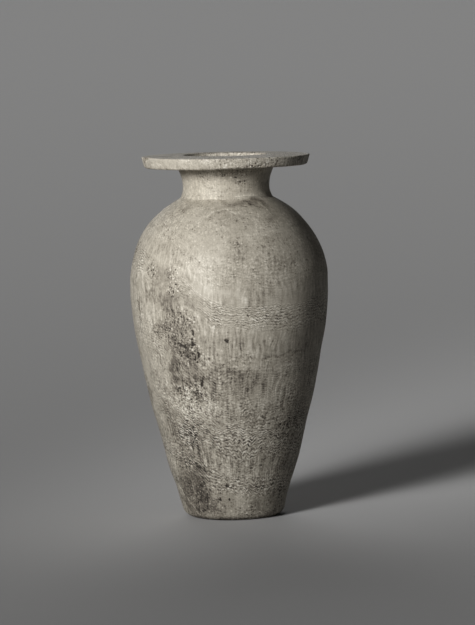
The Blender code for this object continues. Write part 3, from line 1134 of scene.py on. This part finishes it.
def stone_tone(tree, place):
    """How pale the stone is, with the painted shade and painted light that some patches and heights add, and
    the fine pattern in it.
    """
    speckle = mottle(tree, place, SPECK_SIZE)
    pattern, layer_tones = stone_pattern(tree, place, speckle)
    upward = along_axis(tree, place, "Z")
    keep = plus(tree, mottle(tree, place, KEEP_SIZE, 1.0, *KEEP_RANGE), look(tree, "smooth"), KEEP_SMOOTH)
    keep = plus(tree, keep, rise(tree, upward, *KEEP_LOWER_HEIGHTS), KEEP_LOWER)
    clouds = times(tree, mottle(tree, place, CLOUD_SIZE, 2.0), CLOUD_STRENGTH)
    clouds = plus(tree, clouds, times(tree, layer_tones, keep), LAYER_TONE_STRENGTH)
    tone = plus(tree, MIDDLE_TONE, pattern, keep)
    tone = calc(tree, "ADD", tone, clouds)
    tone = plus(tree, tone, stains(tree, place, speckle), STAIN_TONE)
    tone = plus(tree, tone, look(tree, "shade"), SHADE_TONE)
    tone = plus(tree, tone, look(tree, "pale"), PALE_TONE)
    # darker stone near the foot, and painted shade and painted light by height
    for start, whole, added in HEIGHT_TONES_AND_PAINTED_LIGHT:
        tone = plus(tree, tone, rise(tree, upward, start, whole), added)
    return plus(tree, tone, look(tree, "mark"), MARK_TONE), pattern


def calcite():
    """The stone: a solid pattern of layers, fibres and grains, with the marks that the mesh carries."""
    material = bpy.data.materials.new("calcite")
    material.use_nodes = True
    tree = material.node_tree
    metres = tree.nodes.new("ShaderNodeTexCoord").outputs["Object"]
    place = stretched(tree, metres, (1000, 1000, 1000))
    tone, pattern = stone_tone(tree, place)
    surface = tree.nodes["Principled BSDF"]
    tree.links.new(ramp(tree, tone, STONE_COLOURS).outputs["Color"], surface.inputs["Base Color"])
    tree.links.new(plus(tree, ROUGHNESS, tone, ROUGHNESS_OF_PALE), surface.inputs["Roughness"])
    surface.inputs["Specular IOR Level"].default_value = GLOSS
    relief = {"Height": pattern, "Strength": BUMP_STRENGTH, "Distance": BUMP_HEIGHT}
    tree.links.new(node(tree, "Bump", relief, output="Normal"), surface.inputs["Normal"])
    return material


# The light comes from the left of the camera and a little above it, so the right side falls into the dark.
# A weak light from above and a soft one from behind let the hidden sides be seen
KEY_AZIMUTH = math.radians(-33)
KEY_ELEVATION = math.radians(13)
KEY_SOFTNESS = math.radians(12)
KEY_STRENGTH = 1.42
LAMP_SIZE = 0.30
LAMP_DISTANCE = 0.95
LAMP_HEIGHT = 0.50
LAMP_AIM_HEIGHT = 0.230
LAMP_SPREAD = math.radians(34)
LAMP_POWER = 28.0
OVERHEAD_STRENGTH = 0.10
OVERHEAD_SOFTNESS = math.radians(40)
AMBIENT_STRENGTH = 0.010
BACK_AZIMUTH = math.radians(188)
BACK_ELEVATION = math.radians(26)
BACK_STRENGTH = 0.60
BACK_SOFTNESS = math.radians(40)
FLOOR_FLAT = 3.0  # flat this far out, then rising gently so that no edge shows
FLOOR_SIZE = 60.0
FLOOR_RISE = 2.4
FLOOR_CURVE = 1.5
FLOOR_COLOUR = (0.33, 0.325, 0.318, 1)
FLOOR_ROUGHNESS = 0.9
FLOOR_SHEEN = 0.40
FLOOR_SHEEN_ROUGHNESS = 0.5
PRINT_GAMMA = 0.85  # an old plate prints darker in the shades than a plain picture


def add_object(name, data):
    """An object in the scene that holds this data."""
    made = bpy.data.objects.new(name, data)
    bpy.context.scene.collection.objects.link(made)
    return made


def make_floor():
    """A plain grey floor, which rises gently far from the jar."""
    shape = bmesh.new()
    radii = [0.4, 0.8, 1.6, FLOOR_FLAT, 6, 10, 16, 24, 36, 48, FLOOR_SIZE]
    bmesh.ops.create_circle(shape, cap_ends=True, radius=radii[0], segments=96)
    rim = [e for e in shape.edges if e.is_boundary]
    for inner, outer in zip(radii, radii[1:]):
        grown = bmesh.ops.extrude_edge_only(shape, edges=rim)["geom"]
        rim = [e for e in grown if isinstance(e, bmesh.types.BMEdge) and e.is_boundary]
        risen = (max(0, outer - FLOOR_FLAT) / (FLOOR_SIZE - FLOOR_FLAT)) ** FLOOR_CURVE
        for vert in {v for e in rim for v in e.verts}:
            vert.co *= outer / inner
            vert.co.z = FLOOR_RISE * risen
    mesh = bpy.data.meshes.new("floor")
    shape.to_mesh(mesh)
    shape.free()
    mesh.shade_smooth()
    paint = bpy.data.materials.new("floor")
    paint.use_nodes = True
    surface = paint.node_tree.nodes["Principled BSDF"]
    surface.inputs["Base Color"].default_value = FLOOR_COLOUR
    surface.inputs["Roughness"].default_value = FLOOR_ROUGHNESS
    surface.inputs["Sheen Weight"].default_value = FLOOR_SHEEN
    surface.inputs["Sheen Roughness"].default_value = FLOOR_SHEEN_ROUGHNESS
    mesh.materials.append(paint)
    add_object("floor", mesh)


def towards(azimuth, elevation):
    """The direction from the jar to a light. Azimuth 0 is the photograph's side, positive to its right."""
    return Vector((
        math.sin(azimuth) * math.cos(elevation),
        -math.cos(azimuth) * math.cos(elevation),
        math.sin(elevation),
    ))


def add_sun(name, strength, softness):
    """A far light, which shines straight down until it is turned."""
    sun = bpy.data.lights.new(name, "SUN")
    sun.energy = strength
    sun.angle = softness
    return add_object(name, sun)


def make_lights():
    """A low light from the left with a soft lamp beside it, a weak one from above and one from behind.

    The lamp's light thins out down the jar. The world adds a little from all round.
    """
    key = add_sun("key", KEY_STRENGTH, KEY_SOFTNESS)
    key.rotation_euler = towards(KEY_AZIMUTH, KEY_ELEVATION).to_track_quat("Z", "Y").to_euler()

    lamp = bpy.data.lights.new("lamp", "SPOT")
    lamp.shadow_soft_size = LAMP_SIZE / 2
    lamp.spot_size = LAMP_SPREAD
    lamp.spot_blend = 1.0
    lamp.energy = LAMP_POWER
    near_key = add_object("lamp", lamp)
    near_key.location = towards(KEY_AZIMUTH, 0) * LAMP_DISTANCE + Vector((0, 0, LAMP_HEIGHT))
    aim = near_key.location - Vector((0, 0, LAMP_AIM_HEIGHT))
    near_key.rotation_euler = aim.to_track_quat("Z", "Y").to_euler()

    add_sun("overhead", OVERHEAD_STRENGTH, OVERHEAD_SOFTNESS)
    back = add_sun("behind", BACK_STRENGTH, BACK_SOFTNESS)
    back.rotation_euler = towards(BACK_AZIMUTH, BACK_ELEVATION).to_track_quat("Z", "Y").to_euler()

    world = bpy.data.worlds.new("studio")
    world.use_nodes = True
    world.node_tree.nodes["Background"].inputs["Strength"].default_value = AMBIENT_STRENGTH
    world.node_tree.nodes["Background"].inputs["Color"].default_value = (1, 1, 1, 1)
    bpy.context.scene.world = world
    bpy.context.scene.view_settings.view_transform = "Standard"
    bpy.context.scene.view_settings.gamma = PRINT_GAMMA


camera = make_camera()
make_floor()
make_lights()
make_jar(camera)
